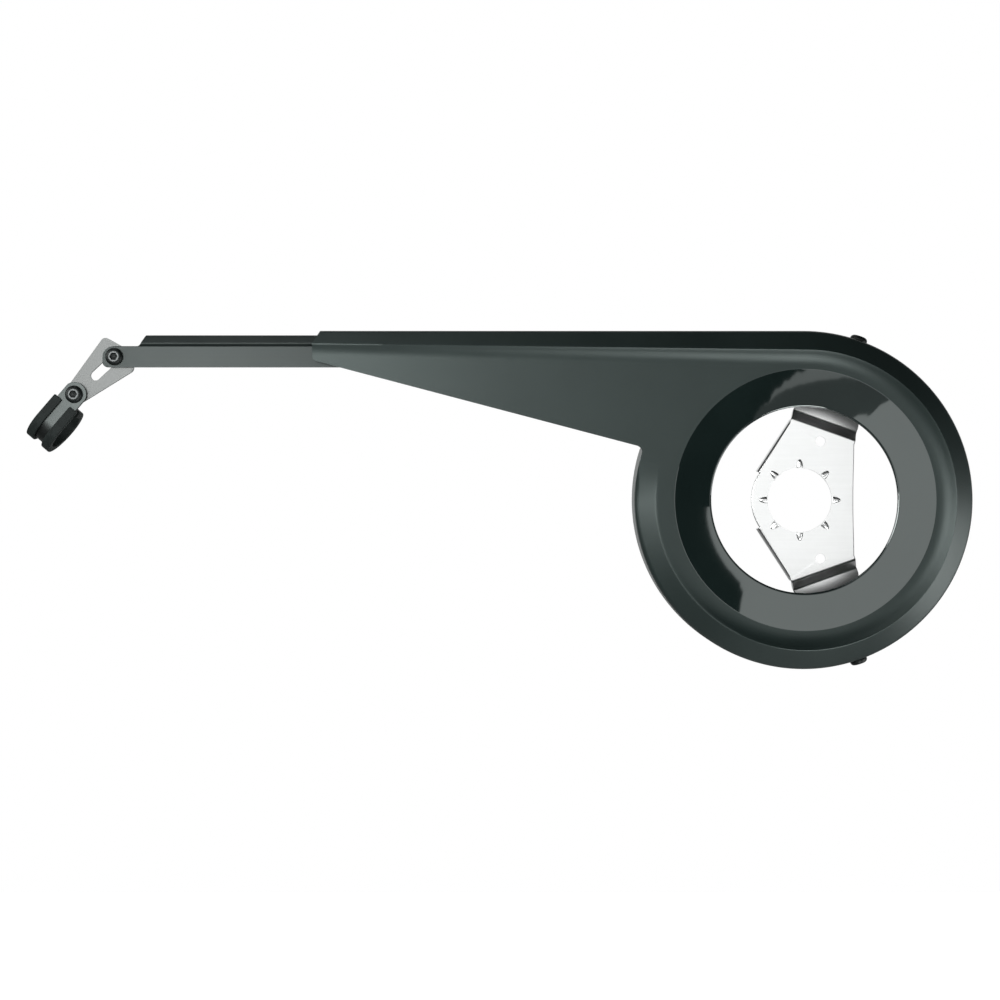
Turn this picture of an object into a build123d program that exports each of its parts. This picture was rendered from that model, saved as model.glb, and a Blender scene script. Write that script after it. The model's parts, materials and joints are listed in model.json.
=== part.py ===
# Bicycle chain guard: a ring cover with a long tail, a bottom bracket plate, a sliding rail and a P-clip.
# Millimetres. The origin is the centre of the plate's bottom bracket hole, in the middle of the sheet.
# X points to the front of the bicycle, Z up and Y into the frame. A height is a distance out of the
# plate's middle plane towards the rider's side, which is -Y.

import os
from math import atan2, cos, degrees, radians, sin, sqrt

from build123d import *

os.makedirs("parts", exist_ok=True)

# Cover: ring
wall = 2.0
ring_radius = 91.0
crank_hole_radius = 49.8
band_width = 11.0  # sloped band from the outside in to the ridge
strip_width = 10.0  # hollow strip from the ridge in to the floor
hollow_pull = 0.55  # how much of the strip stays near the floor's level
ridge_rise = 4.7  # ridge above the floor
floor_height = 19.8
funnel_drop = 2.6  # how far the funnel dips from the floor to the crank hole
shoulder_height = 14.5
shoulder_round = 4.5
back_height = -6.0
fade_step = 8.0  # about so many degrees between sections where the ridge dies away
fade_power = 1.3  # above 1 the ridge dies away sooner
fade_margin = 4.0  # degrees from the last section to the notch
shoulder_fade = 14.0  # degrees over which the shoulder rises to the tail
edge_round = 0.3
inner_round = 1.0

# Cover: tail
tail_length = 263.5  # from the bottom bracket axis to the rear end
tail_end_height = 16.2
tail_slope = 14.76  # degrees that the lower edge falls to the front
tail_band_width = 7.5
tail_strip_width = 6.5
tail_ridge_rise = 1.8
tail_slant = 4.8  # how far the band's rear end leans forward
tail_corner_round = 2.6
notch_round = 3.7

# Cover: rail guides
guide_width = 1.4
guide_inset = 3.0  # upper rib from the rear end of the tail
hook_length = 9.0
hook_thickness = 1.8
hook_inset = 36.0  # rear hook from the rear end of the tail
hook_spacing = 42.0

# Plate
sheet = 2.0
bore_radius = 17.5
collar_radius = 26.4
collar_angle = 30.0  # above and below the rear
grip_count = 8
grip_length = 4.2
grip_inset = 0.4  # from the edge of the hole
grip_width = 3.6
grip_rise = 0.9
arm_angle = 70.5
arm_width = 36.0
arm_bend = 42.0  # from the axis to the joggle
joggle_run = 7.0
joggle_drop = 6.0
bend_radius = 3.0
waist = 29.2  # from the axis to the front edge
flange_drop = 4.0
flange_inset = 2.0
service_hole_radius = 2.75
service_hole_distance = 34.0
tab_width = 20.0
tab_height = 18.0

# Rail
rail_sheet = 2.0
rail_height = 17.5
hood_height = 6.2
hood_back = -3.0
hood_lip = 1.2
hood_round = 4.0
rail_length = 226.0
rail_reach = 112.9  # how far the nose stands out of the tail
web_front = 16.0
nose_length = 20.1
nose_slant = 3.8
nose_round = 2.8
pivot_inset = 6.4

# Link
link_sheet = 2.0
link_angle = 223.0  # direction from the pivot to the clip screw
link_reach = 29.6  # from the pivot to the clip screw
link_apex = 5.7
link_spread = 16.1  # angle from the middle to a corner
link_radius = 36.5  # from the clip screw to the broad end
link_corner = 3.0
corner_reach = 32.0  # from the clip screw to the middle of a corner's round
slot_near = 15.0
slot_far = 31.0

# P-clip
strap_sheet = 1.0
strap_width = 12.6
ear_radius = 6.6
clip_angle = 229.2  # direction from the clip screw to the loop
clip_bore = 10.2
liner_base = 1.0
liner_lip = 1.8
liner_width = 15.5
liner_window = 5.5
liner_start = 6.4  # where the lips begin, from the clip screw
liner_rise = 5.8
loop_distance = 20.0
ear_bend = 2.0

# Fasteners
screw_radius = 2.5
head_radius = 4.7
head_height = 2.7
head_flat = 2.9
head_rim = 0.7
head_lean = 0.6  # how far the head's side leans in at the rim
socket_width = 3.0
socket_depth = 1.5
nut_width = 8.0
nut_height = 3.6
collar_height = 1.4
nut_collar_radius = 3.5
washer_radius = 5.0
washer_sheet = 1.0
weld_nut_width = 9.0
weld_nut_height = 3.6
weld_nut_corner = 1.0
screw_height = 8.0  # bracket screws, out of the plate's plane
thread_end = 1.2  # thread that shows past a nut

# Clearances
rail_gap = 0.3
seat_gap = 0.1
shaft_gap = 0.08
slot_gap = 0.15
thread_gap = 0.05

# Worked out from the sizes above
floor_radius = ring_radius - band_width - strip_width
inner_floor = floor_height - wall
hole_edge = Vector(crank_hole_radius, floor_height - funnel_drop)
tail_floor = ring_radius - tail_band_width - tail_strip_width
tail_low = ring_radius - tail_end_height
rail_top = ring_radius - wall - rail_gap
rail_low = rail_top - rail_height
hood_low = rail_top - hood_height
web_back = web_front - rail_sheet
nose_end = -tail_length - rail_reach
pivot_x = nose_end + pivot_inset
pivot_z = (rail_low + hood_low) / 2
link_front = web_back - 2 * seat_gap
link_back = link_front - link_sheet
clip_x = pivot_x + link_reach * cos(radians(link_angle))
clip_z = pivot_z + link_reach * sin(radians(link_angle))
rear_ear = link_front + seat_gap + strap_sheet / 2
front_ear = rear_ear + strap_sheet + seat_gap
strap_radius = clip_bore + liner_base + strap_sheet / 2
loop_height = front_ear - strap_radius


def radial_plane(angle, x=0.0, z=0.0):
    """Plane through an axis along Y: local x points outwards, local y out of the plate."""
    turn = radians(angle)
    return Plane((x, 0, z), x_dir=(cos(turn), 0, sin(turn)), z_dir=(sin(turn), 0, -cos(turn)))


def arm_hole(side, radius):
    """Point on the axis of a bracket screw, on the upper (1) or lower (-1) arm."""
    return radial_plane(side * arm_angle).from_local_coords(Vector(radius, screw_height, 0))


def tail_plane(x):
    """Plane across the tail: local x points up, local y out of the plate."""
    return Plane((x, 0, 0), x_dir=(0, 0, 1), z_dir=(1, 0, 0))


def ease(t):
    """Smooth step from 0 to 1."""
    t = min(max(t, 0.0), 1.0)
    return t * t * (3 - 2 * t)


def inset(before, corner, after, distance):
    """Point at a distance to the left of both sides of a corner."""
    first = (corner - before).normalized()
    second = (after - corner).normalized()
    left_first = Vector(-first.Y, first.X)
    left_second = Vector(-second.Y, second.X)
    return corner + (left_first + left_second) * (distance / (1 + left_first.dot(left_second)))


def cover_section(band, strip, rise, shoulder, rounding, funnel):
    """Wall section: upright wall, rounded shoulder, sloped band, ridge, hollow strip and funnel."""
    foot = Vector(ring_radius, back_height)
    corner = Vector(ring_radius, shoulder)
    ridge = Vector(ring_radius - band, floor_height + rise)
    floor = Vector(ring_radius - band - strip, floor_height)
    hollow = Vector(floor.X + strip * hollow_pull, floor_height)
    inner_corner = inset(foot, corner, ridge, wall)
    inner_ridge = inset(corner, ridge, hollow, wall)
    with BuildLine() as outline:
        FilletPolyline(foot, corner, ridge, radius=rounding)
        Bezier(ridge, hollow, floor)
        if funnel:
            Polyline(floor, hole_edge, hole_edge - (0, wall), floor - (0, wall))
        else:
            Line(floor, floor - (0, wall))
        Bezier(floor - (0, wall), hollow - (0, wall), inner_ridge)
        inner_rounding = max(rounding - wall, inner_round)
        FilletPolyline(inner_ridge, inner_corner, foot - (wall, 0), radius=inner_rounding)
        Line(foot - (wall, 0), foot)
    make_face(outline.edges())


# Where the tail's lower edge runs into the ring
edge_start = Vector(-tail_length, tail_low)
edge_way = Vector(cos(radians(tail_slope)), -sin(radians(tail_slope)))
along = edge_start.dot(edge_way)
edge_run = -along - sqrt(along**2 - edge_start.dot(edge_start) + ring_radius**2)
notch = edge_start + edge_way * edge_run
notch_angle = degrees(atan2(notch.Y, notch.X))
fade_stop = notch_angle + fade_margin
fade_steps = round((270 - fade_stop) / fade_step)
stop_way = Vector(cos(radians(fade_stop)), sin(radians(fade_stop)))
end_way = (notch.normalized() + stop_way).normalized()
mid_way = (Vector(0, 1) + stop_way).normalized()

with BuildPart() as cover_shell:
    # Front half of the ring, with the ridge at its full height
    with BuildSketch(radial_plane(90)):
        cover_section(band_width, strip_width, ridge_rise, shoulder_height, shoulder_round, True)
    revolve(axis=Axis.Y, revolution_arc=180)
    # Lower rear quarter, where the ridge dies away and the shoulder rises to meet the tail
    for step in range(fade_steps + 1):
        angle = 270 - step * (270 - fade_stop) / fade_steps
        rise = ridge_rise * ease((angle - 180) / 90) ** fade_power
        gain = ease((fade_stop + shoulder_fade - angle) / shoulder_fade)
        shoulder = shoulder_height + (floor_height - shoulder_height) * gain
        rounding = shoulder_round + (edge_round - shoulder_round) * gain
        with BuildSketch(radial_plane(angle)):
            cover_section(band_width, strip_width, rise, shoulder, rounding, True)
    loft()
    # Tail: the band and the ridge get narrower to the rear
    with BuildSketch(tail_plane(0)):
        cover_section(band_width, strip_width, ridge_rise, shoulder_height, shoulder_round, False)
    with BuildSketch(tail_plane(-tail_length)):
        tail_end = (tail_band_width, tail_strip_width, tail_ridge_rise)
        cover_section(*tail_end, shoulder_height, shoulder_round, False)
    loft(ruled=True)
    # Flat face of the tail
    with BuildSketch(Plane.XZ.offset(inner_floor)) as face:
        with BuildLine():
            Polyline((0, floor_radius), (-tail_length, tail_floor), edge_start, notch)
            ThreePointArc(notch, end_way * ring_radius, stop_way * ring_radius)
            Line(stop_way * ring_radius, stop_way * floor_radius)
            ThreePointArc(stop_way * floor_radius, mid_way * floor_radius, (0, floor_radius))
        make_face()
        fillet(face.vertices().sort_by_distance(notch)[0], notch_round)
        fillet(face.vertices().sort_by_distance(edge_start)[0], tail_corner_round)
    extrude(amount=wall)
    # End of the ring wall behind the tail
    with BuildSketch(radial_plane(fade_stop)):
        with BuildLine():
            Polyline(
                (ring_radius, back_height),
                (ring_radius, inner_floor),
                (ring_radius - wall, inner_floor),
                (ring_radius - wall, back_height),
                close=True,
            )
        make_face()
    revolve(axis=Axis.Y, revolution_arc=fade_stop - notch_angle)
    # Funnel beside the tail
    with BuildSketch(radial_plane(fade_stop)):
        with BuildLine():
            Polyline(
                (floor_radius, floor_height),
                hole_edge,
                hole_edge - (0, wall),
                (floor_radius, inner_floor),
                close=True,
            )
        make_face()
    revolve(axis=Axis.Y, revolution_arc=fade_stop - 90)
    # Slanted rear end of the band
    with BuildSketch(Plane.XZ.offset(back_height - wall)):
        with BuildLine():
            Polyline(
                (-tail_length - tail_slant, ring_radius - tail_band_width),
                (-tail_length, ring_radius - tail_band_width),
                (-tail_length + tail_slant, ring_radius + wall),
                (-tail_length - tail_slant, ring_radius + wall),
                close=True,
            )
        make_face()
    extrude(amount=floor_height + ridge_rise - back_height + 2 * wall, mode=Mode.SUBTRACT)
    # Ribs that the rail runs along
    with BuildSketch(Plane.XZ.offset(web_front + seat_gap)):
        upper_rib = (hood_low - 2 * guide_width, guide_inset)
        lower_rib = (rail_low + 2 * guide_width, hook_inset / 2)
        for rib_z, rib_start in (upper_rib, lower_rib):
            rib_length = hook_inset + hook_spacing + hook_length - rib_start
            with Locations((-tail_length + rib_start + rib_length / 2, rib_z)):
                Rectangle(rib_length, guide_width)
    extrude(amount=inner_floor - web_front - seat_gap + wall / 2)
    # Hooks that hold the rail's lower edge
    for hook in range(2):
        hook_x = -tail_length + hook_inset + hook * hook_spacing
        with BuildSketch(tail_plane(hook_x)):
            hook_top = rail_low - rail_gap
            hook_back = web_back - rail_gap
            with BuildLine():
                Polyline(
                    (hook_top, inner_floor),
                    (hook_top, hook_back),
                    (hook_top + 2 * hook_thickness, hook_back),
                    (hook_top + 2 * hook_thickness, hook_back - hook_thickness),
                    (hook_top - hook_thickness, hook_back - hook_thickness),
                    (hook_top - hook_thickness, inner_floor),
                    close=True,
                )
            make_face()
        extrude(amount=hook_length / 2, both=True)
    # Holes for the bracket screws
    for side in (1, -1):
        outwards = radial_plane(side * arm_angle).x_dir
        with BuildSketch(Plane(arm_hole(side, ring_radius - 2 * wall), z_dir=outwards)):
            Circle(screw_radius + slot_gap)
        extrude(amount=3 * wall, mode=Mode.SUBTRACT)

cover_shell.part.label = "cover_shell"
export_step(cover_shell.part, "parts/cover_shell.step")

clip_side = radial_plane(clip_angle, clip_x, clip_z)


def clip_plane(height):
    """Plane parallel to the plate at the clip screw: local x points to the middle of the loop."""
    return Plane((clip_x, -height, clip_z), x_dir=clip_side.x_dir, z_dir=(0, -1, 0))


def screw(seat, length):
    """Button-head socket screw: the head stands on the seat plane and the shank goes below it."""
    with BuildSketch(Plane(seat.origin, x_dir=seat.x_dir, z_dir=-seat.y_dir)) as half:
        with BuildLine():
            Polyline(
                (0, head_height),
                (0, -length),
                (screw_radius, -length),
                (screw_radius, 0),
                (head_radius, 0),
                (head_radius, head_rim),
            )
            TangentArc((head_radius, head_rim), (head_flat, head_height), tangent=(-head_lean, 1))
            Line((head_flat, head_height), (0, head_height))
        make_face()
    revolve(half.sketch, axis=Axis(seat.origin, seat.z_dir))
    with BuildSketch(seat.offset(head_height - socket_depth)) as socket:
        RegularPolygon(socket_width / 2, 6, major_radius=False)
    extrude(socket.sketch, amount=socket_depth, mode=Mode.SUBTRACT)


def lock_nut(seat):
    """Hexagon nut with a round locking collar, standing on the seat plane."""
    with BuildSketch(seat) as hexagon:
        RegularPolygon(nut_width / 2, 6, major_radius=False)
    extrude(hexagon.sketch, amount=nut_height)
    with BuildSketch(seat.offset(nut_height)) as collar:
        Circle(nut_collar_radius)
    extrude(collar.sketch, amount=collar_height)
    with BuildSketch(seat) as bore:
        Circle(screw_radius + thread_gap)
    extrude(bore.sketch, amount=nut_height + collar_height, mode=Mode.SUBTRACT)


def washer(seat):
    """Plain washer on the seat plane."""
    with BuildSketch(seat) as ring:
        Circle(washer_radius)
        Circle(screw_radius + shaft_gap, mode=Mode.SUBTRACT)
    extrude(ring.sketch, amount=washer_sheet)


# Half of the plate above the axis, with its arm, then its mirror image below
arm_way = Vector(cos(radians(arm_angle)), sin(radians(arm_angle)))
arm_side = Vector(arm_way.Y, -arm_way.X)
arm_root = arm_bend - bend_radius
arm_front = arm_way * arm_root + arm_side * (arm_width / 2)
arm_rear = arm_way * arm_root - arm_side * (arm_width / 2)
collar_end = Vector(-collar_radius * cos(radians(collar_angle)), collar_radius * sin(radians(collar_angle)))
flange_way = (arm_rear - collar_end).normalized()
flange_plane = Plane(
    (collar_end.X, 0, collar_end.Y),
    x_dir=(-flange_way.Y, 0, flange_way.X),
    z_dir=(flange_way.X, 0, flange_way.Y),
)
flange_length = (arm_rear - collar_end).length
tab_face = sqrt((ring_radius - wall) ** 2 - (tab_width / 2) ** 2) - seat_gap
tab_middle = tab_face - sheet / 2
arm_line = radial_plane(arm_angle).x_dir
arm_plane = Plane((0, joggle_drop + sheet, 0), x_dir=arm_line, z_dir=(0, -1, 0))

with BuildPart() as mounting_bracket:
    with BuildSketch(Plane.XZ.offset(-sheet / 2)):
        with BuildLine():
            Polyline((-collar_radius, 0), (waist, 0))
            TangentArc((waist, 0), arm_front, tangent=(0, 1))
            Polyline(arm_front, arm_rear, collar_end)
            CenterArc((0, 0), collar_radius, 180 - collar_angle, collar_angle)
        make_face()
    extrude(amount=sheet)
    # Joggled arm that runs behind the chainring and turns up into a tab
    with BuildSketch(radial_plane(arm_angle)):
        with BuildLine():
            FilletPolyline(
                (arm_root - sheet, 0),
                (arm_bend, 0),
                (arm_bend + joggle_run, -joggle_drop),
                (tab_middle, -joggle_drop),
                (tab_middle, tab_height - joggle_drop),
                radius=bend_radius,
            )
        trace(line_width=sheet)
    extrude(amount=arm_width / 2, both=True)
    # The arm narrows to its tab
    with BuildSketch(arm_plane):
        for side in (1, -1):
            with BuildLine():
                Polyline(
                    (arm_bend + joggle_run + bend_radius, side * arm_width / 2),
                    (tab_middle - 2 * bend_radius, side * tab_width / 2),
                    (ring_radius, side * tab_width / 2),
                    (ring_radius, side * arm_width),
                    (arm_bend + joggle_run + bend_radius, side * arm_width),
                    close=True,
                )
            make_face()
    extrude(amount=tab_height + 2 * sheet, mode=Mode.SUBTRACT)
    # Stiffening flange, bent back along the slanted edge
    with BuildSketch(flange_plane.offset(flange_inset)):
        with BuildLine():
            FilletPolyline((-sheet, 0), (sheet, 0), (sheet, -flange_drop), radius=sheet)
        trace(line_width=sheet)
    extrude(amount=flange_length - 2 * flange_inset)
    # Service hole, and the screw hole in the tab
    with BuildSketch(Plane.XZ.offset(-sheet / 2)):
        with Locations(arm_way * service_hole_distance):
            Circle(service_hole_radius)
    extrude(amount=sheet, mode=Mode.SUBTRACT)
    with BuildSketch(Plane(arm_hole(1, tab_face - 2 * sheet), z_dir=arm_line)):
        Circle(screw_radius + slot_gap)
    extrude(amount=3 * sheet, mode=Mode.SUBTRACT)
    mirror(about=Plane.XY)
    # Bottom bracket hole with its pressed grips
    with BuildSketch(Plane.XZ.offset(-sheet / 2)):
        Circle(bore_radius)
    extrude(amount=sheet, mode=Mode.SUBTRACT)
    for grip in range(grip_count):
        side_plane = radial_plane(grip * 360 / grip_count)
        grip_plane = Plane(side_plane.origin, x_dir=side_plane.z_dir, z_dir=side_plane.x_dir)
        with BuildSketch(grip_plane.offset(bore_radius + grip_inset)):
            with BuildLine():
                Line((-grip_width / 2, -sheet / 2), (grip_width / 2, -sheet / 2))
                ThreePointArc(
                    (grip_width / 2, -sheet / 2), (0, -sheet / 2 - grip_rise), (-grip_width / 2, -sheet / 2)
                )
            make_face()
        extrude(amount=grip_length)

mounting_bracket.part.label = "mounting_bracket"
export_step(mounting_bracket.part, "parts/mounting_bracket.step")

# Screws through the ring wall and weld nuts behind the tabs
nut_face = tab_face - sheet
bracket_screw_length = ring_radius - nut_face + weld_nut_height + thread_end
for side, place in ((1, "upper"), (-1, "lower")):
    outwards = radial_plane(side * arm_angle).x_dir
    with BuildPart() as bracket_screw:
        screw(Plane(arm_hole(side, ring_radius), z_dir=outwards), bracket_screw_length)
    bracket_screw.part.label = f"bracket_screw_{place}"
    export_step(bracket_screw.part, f"parts/bracket_screw_{place}.step")

    with BuildPart() as bracket_nut:
        with BuildSketch(Plane(arm_hole(side, nut_face), x_dir=(0, 1, 0), z_dir=-outwards)):
            RectangleRounded(weld_nut_width, weld_nut_width, weld_nut_corner)
            Circle(screw_radius + thread_gap, mode=Mode.SUBTRACT)
        extrude(amount=weld_nut_height)
    bracket_nut.part.label = f"bracket_nut_{place}"
    export_step(bracket_nut.part, f"parts/bracket_nut_{place}.step")

# Rail: the hood's slope lies inside the cover's band
band_foot = Vector(ring_radius, shoulder_height)
band_top = Vector(ring_radius - tail_band_width, floor_height + tail_ridge_rise)
band_way = (band_top - band_foot).normalized()
hood_foot = band_foot + Vector(-band_way.Y, band_way.X) * (wall + rail_gap)


def hood_point(z, depth):
    """Point on the hood's slope at a level z, a depth below its outside."""
    foot = hood_foot + Vector(-band_way.Y, band_way.X) * depth
    return foot + band_way * ((z - foot.X) / band_way.X)


with BuildPart() as extension_rail:
    with BuildSketch(tail_plane(nose_end)):
        hood_inside = hood_point(rail_top - rail_sheet, rail_sheet)
        web_level = hood_foot.X + (web_back - hood_foot.Y) / band_way.Y * band_way.X
        with BuildLine():
            FilletPolyline(
                (rail_low, web_front),
                (hood_low, web_front),
                hood_point(hood_low + hood_lip, 0),
                hood_point(rail_top, 0),
                (rail_top, hood_back),
                radius=[hood_lip / 2, hood_lip, hood_round],
            )
            Line((rail_top, hood_back), (rail_top - rail_sheet, hood_back))
            FilletPolyline(
                (rail_top - rail_sheet, hood_back),
                hood_inside,
                hood_point(hood_low + hood_lip, rail_sheet),
                (hood_low, web_back),
                (rail_low, web_back),
                radius=[hood_round - rail_sheet, hood_lip / 2, hood_lip / 2],
            )
            Line((rail_low, web_back), (rail_low, web_front))
        make_face()
    extrude(amount=rail_length)
    # The hood ends in front of the nose, with a slanted end
    with BuildSketch(Plane.XZ.offset(hood_back - rail_sheet)) as nose:
        with BuildLine():
            Polyline(
                (nose_end - rail_sheet, hood_low),
                (nose_end + nose_length, hood_low),
                (nose_end + nose_length + nose_slant, rail_top + rail_sheet),
                (nose_end - rail_sheet, rail_top + rail_sheet),
                close=True,
            )
        make_face()
        fillet(nose.vertices().sort_by_distance((nose_end + nose_length, hood_low))[0], nose_round)
    extrude(amount=floor_height - hood_back + 2 * rail_sheet, mode=Mode.SUBTRACT)
    fillet(extension_rail.edges().filter_by(Axis.Y).group_by(Axis.X)[0], nose_round)
    with BuildSketch(Plane.XZ.offset(web_back)):
        with Locations((pivot_x, pivot_z)):
            Circle(screw_radius + shaft_gap)
    extrude(amount=rail_sheet, mode=Mode.SUBTRACT)

extension_rail.part.label = "extension_rail"
export_step(extension_rail.part, "parts/extension_rail.step")

# Clamp joint at the rail's nose
washer_front = link_back - seat_gap
nut_front = washer_front - washer_sheet
thread_tip = nut_front - nut_height - collar_height - thread_end

for place, spot, head_seat in (
    ("pivot", (pivot_x, pivot_z), web_front + seat_gap),
    ("clip", (clip_x, clip_z), front_ear + strap_sheet / 2),
):
    with BuildPart() as joint_screw:
        head_plane = Plane((spot[0], -head_seat, spot[1]), x_dir=(1, 0, 0), z_dir=(0, -1, 0))
        screw(head_plane, head_seat - thread_tip)
    joint_screw.part.label = f"{place}_screw"
    export_step(joint_screw.part, f"parts/{place}_screw.step")

    with BuildPart() as joint_washer:
        washer(Plane((spot[0], -washer_front, spot[1]), x_dir=(1, 0, 0), z_dir=(0, 1, 0)))
    joint_washer.part.label = f"{place}_washer"
    export_step(joint_washer.part, f"parts/{place}_washer.step")

    with BuildPart() as joint_nut:
        lock_nut(Plane((spot[0], -nut_front, spot[1]), x_dir=(1, 0, 0), z_dir=(0, 1, 0)))
    joint_nut.part.label = f"{place}_nut"
    export_step(joint_nut.part, f"parts/{place}_nut.step")

# Link plate, drawn from the clip screw towards the pivot
link_way = radial_plane(link_angle + 180).x_dir
link_plane = Plane((clip_x, -link_back, clip_z), x_dir=link_way, z_dir=(0, -1, 0))
corner_x = corner_reach * cos(radians(link_spread))
corner_y = corner_reach * sin(radians(link_spread))

with BuildPart() as link_plate:
    with BuildSketch(link_plane):
        Circle(link_apex)
        with Locations((corner_x, corner_y), (corner_x, -corner_y)):
            Circle(link_corner)
        with Locations((link_radius - link_apex, 0)):
            Circle(link_apex)
        make_hull()
        Circle(screw_radius + shaft_gap, mode=Mode.SUBTRACT)
        with Locations(((slot_near + slot_far) / 2, 0)):
            SlotCenterToCenter(slot_far - slot_near, 2 * (screw_radius + slot_gap), mode=Mode.SUBTRACT)
    extrude(amount=link_sheet)

link_plate.part.label = "link_plate"
export_step(link_plate.part, "parts/link_plate.step")

# P-clip: the front ear runs straight into the loop, the rear ear bends back behind it
near_side = loop_distance - strap_radius
with BuildPart() as clip_strap:
    with BuildSketch(clip_side):
        with BuildLine():
            Line((-ear_radius, front_ear), (loop_distance, front_ear))
            CenterArc((loop_distance, loop_height), strap_radius, 90, -270)
            Line((near_side, loop_height), (near_side, rear_ear - ear_bend))
            CenterArc((near_side - ear_bend, rear_ear - ear_bend), ear_bend, 0, 90)
            Line((near_side - ear_bend, rear_ear), (-ear_radius, rear_ear))
        trace(line_width=strap_sheet)
    extrude(amount=strap_width / 2, both=True)
    # Round the ears and bore them
    with BuildSketch(clip_plane(rear_ear - strap_sheet)):
        with Locations((-ear_radius, 0)):
            Rectangle(2 * ear_radius, 3 * ear_radius)
        Circle(ear_radius, mode=Mode.SUBTRACT)
        Circle(screw_radius + shaft_gap)
    extrude(amount=4 * strap_sheet, mode=Mode.SUBTRACT)

clip_strap.part.label = "clip_strap"
export_step(clip_strap.part, "parts/clip_strap.step")

# Rubber liner: a channel that wraps the strap's edges
loop_middle = clip_side.from_local_coords(Vector(loop_distance, loop_height, 0))
loop_axis = clip_side.z_dir
front_cut = Plane(loop_middle, x_dir=loop_axis, z_dir=-clip_side.x_dir)
near_cut = Plane(loop_middle, x_dir=-loop_axis, z_dir=(0, -1, 0))
lip_radius = strap_radius + strap_sheet / 2 + liner_lip


def liner_section(bottom):
    """Channel section from a bottom radius out to the lips, with room for the strap."""
    with Locations((0, (bottom + lip_radius) / 2)):
        Rectangle(liner_width, lip_radius - bottom)
    with Locations((0, strap_radius)):
        Rectangle(strap_width + 2 * thread_gap, strap_sheet + 2 * thread_gap, mode=Mode.SUBTRACT)
    with Locations((0, lip_radius)):
        Rectangle(liner_window, 2 * liner_lip, mode=Mode.SUBTRACT)


with BuildPart() as clip_liner:
    with BuildSketch(front_cut):
        liner_section(clip_bore)
    extrude(amount=clip_bore)
    with BuildSketch(front_cut):
        liner_section(clip_bore)
    revolve(axis=Axis(loop_middle, -loop_axis), revolution_arc=270)
    with BuildSketch(near_cut):
        liner_section(clip_bore)
    extrude(amount=liner_rise)
    with BuildSketch(front_cut.offset(clip_bore)):
        liner_section(strap_radius - strap_sheet / 2 - thread_gap)
    extrude(amount=loop_distance - clip_bore - liner_start)

clip_liner.part.label = "clip_liner"
export_step(clip_liner.part, "parts/clip_liner.step")
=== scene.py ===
import json
from math import acos, atan2, cos, degrees, hypot, pi, radians, sin, sqrt, tan

import bmesh
import bpy
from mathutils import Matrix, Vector


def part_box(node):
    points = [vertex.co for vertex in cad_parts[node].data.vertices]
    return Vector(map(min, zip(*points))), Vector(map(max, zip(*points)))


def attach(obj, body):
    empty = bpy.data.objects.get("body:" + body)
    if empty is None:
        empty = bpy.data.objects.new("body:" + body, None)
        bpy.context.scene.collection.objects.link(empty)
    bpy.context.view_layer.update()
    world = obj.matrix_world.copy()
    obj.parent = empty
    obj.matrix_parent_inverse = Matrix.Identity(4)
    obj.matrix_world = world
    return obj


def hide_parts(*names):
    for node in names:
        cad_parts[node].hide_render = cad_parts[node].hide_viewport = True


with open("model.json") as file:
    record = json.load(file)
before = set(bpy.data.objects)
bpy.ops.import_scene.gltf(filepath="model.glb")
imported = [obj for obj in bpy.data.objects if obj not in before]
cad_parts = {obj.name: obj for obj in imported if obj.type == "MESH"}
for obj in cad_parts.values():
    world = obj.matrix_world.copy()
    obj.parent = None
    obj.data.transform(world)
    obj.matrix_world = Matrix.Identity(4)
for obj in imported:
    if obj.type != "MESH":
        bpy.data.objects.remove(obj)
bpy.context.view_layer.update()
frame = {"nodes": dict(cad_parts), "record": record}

mm = 0.001
tiny = 1e-6  # places closer than that are the same
record = frame["record"]
bodyOf = {node: body for body, nodes in record["behaviour"]["bodies"].items() for node in nodes}
slotOf = {part["node"]: part["material_slot"] for part in record["subparts"]}
print("frame loaded:", len(frame["nodes"]), "nodes")


# Shader maths: sums on wires add Math nodes, node() adds any other node
class Wire:
    def __init__(self, tree, socket=None):
        self.tree = tree
        self.socket = socket

    def node(self, kind, settings={}, sockets={}, out=0):
        made = self.tree.nodes.new("ShaderNode" + kind)
        for key, value in settings.items():
            setattr(made, key, value)
        for key, value in sockets.items():
            if isinstance(value, Wire):
                self.tree.links.new(value.socket, made.inputs[key])
            else:
                made.inputs[key].default_value = value
        return Wire(self.tree, made.outputs[out])

    def maths(self, operation, first, second=0.0):
        return self.node("Math", {"operation": operation}, {0: first, 1: second})

    def __add__(self, other):
        return self.maths("ADD", self, other)

    def __sub__(self, other):
        return self.maths("SUBTRACT", self, other)

    def __rsub__(self, other):
        return self.maths("SUBTRACT", other, self)

    def __mul__(self, other):
        return self.maths("MULTIPLY", self, other)

    def __truediv__(self, other):
        return self.maths("DIVIDE", self, other)

    __radd__ = __add__
    __rmul__ = __mul__

    def ease(self, start, end, low=0.0, high=1.0):  # smooth step from low at start to high at end
        return self.node(
            "MapRange",
            {"interpolation_type": "SMOOTHSTEP"},
            {"Value": self, "From Min": start, "From Max": end, "To Min": low, "To Max": high},
        )

    def blend(self, first, second):  # colours, with this wire as the factor
        return self.node("Mix", {"data_type": "RGBA"}, {"Factor": self, 6: first, 7: second}, out=2)

    def noise(self, scale, detail):  # with this wire as the place
        return self.node("TexNoise", {}, {"Vector": self, "Scale": scale, "Detail": detail})

    def feed(self, shader, name):
        self.tree.links.new(self.socket, shader.inputs[name])

    def bump(self, shader, strength, depth):  # with this wire as the height
        made = self.node("Bump", {}, {"Strength": strength, "Distance": depth, "Height": self})
        made.feed(shader, "Normal")


def newFinish(name, plain):
    material = bpy.data.materials.new(name)
    material.use_nodes = True
    shader = material.node_tree.nodes["Principled BSDF"]
    for socket, value in plain.items():
        shader.inputs[socket].default_value = value
    return material, shader, Wire(material.node_tree)


def colour(red, green, blue):
    return (red, green, blue, 1.0)


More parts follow.
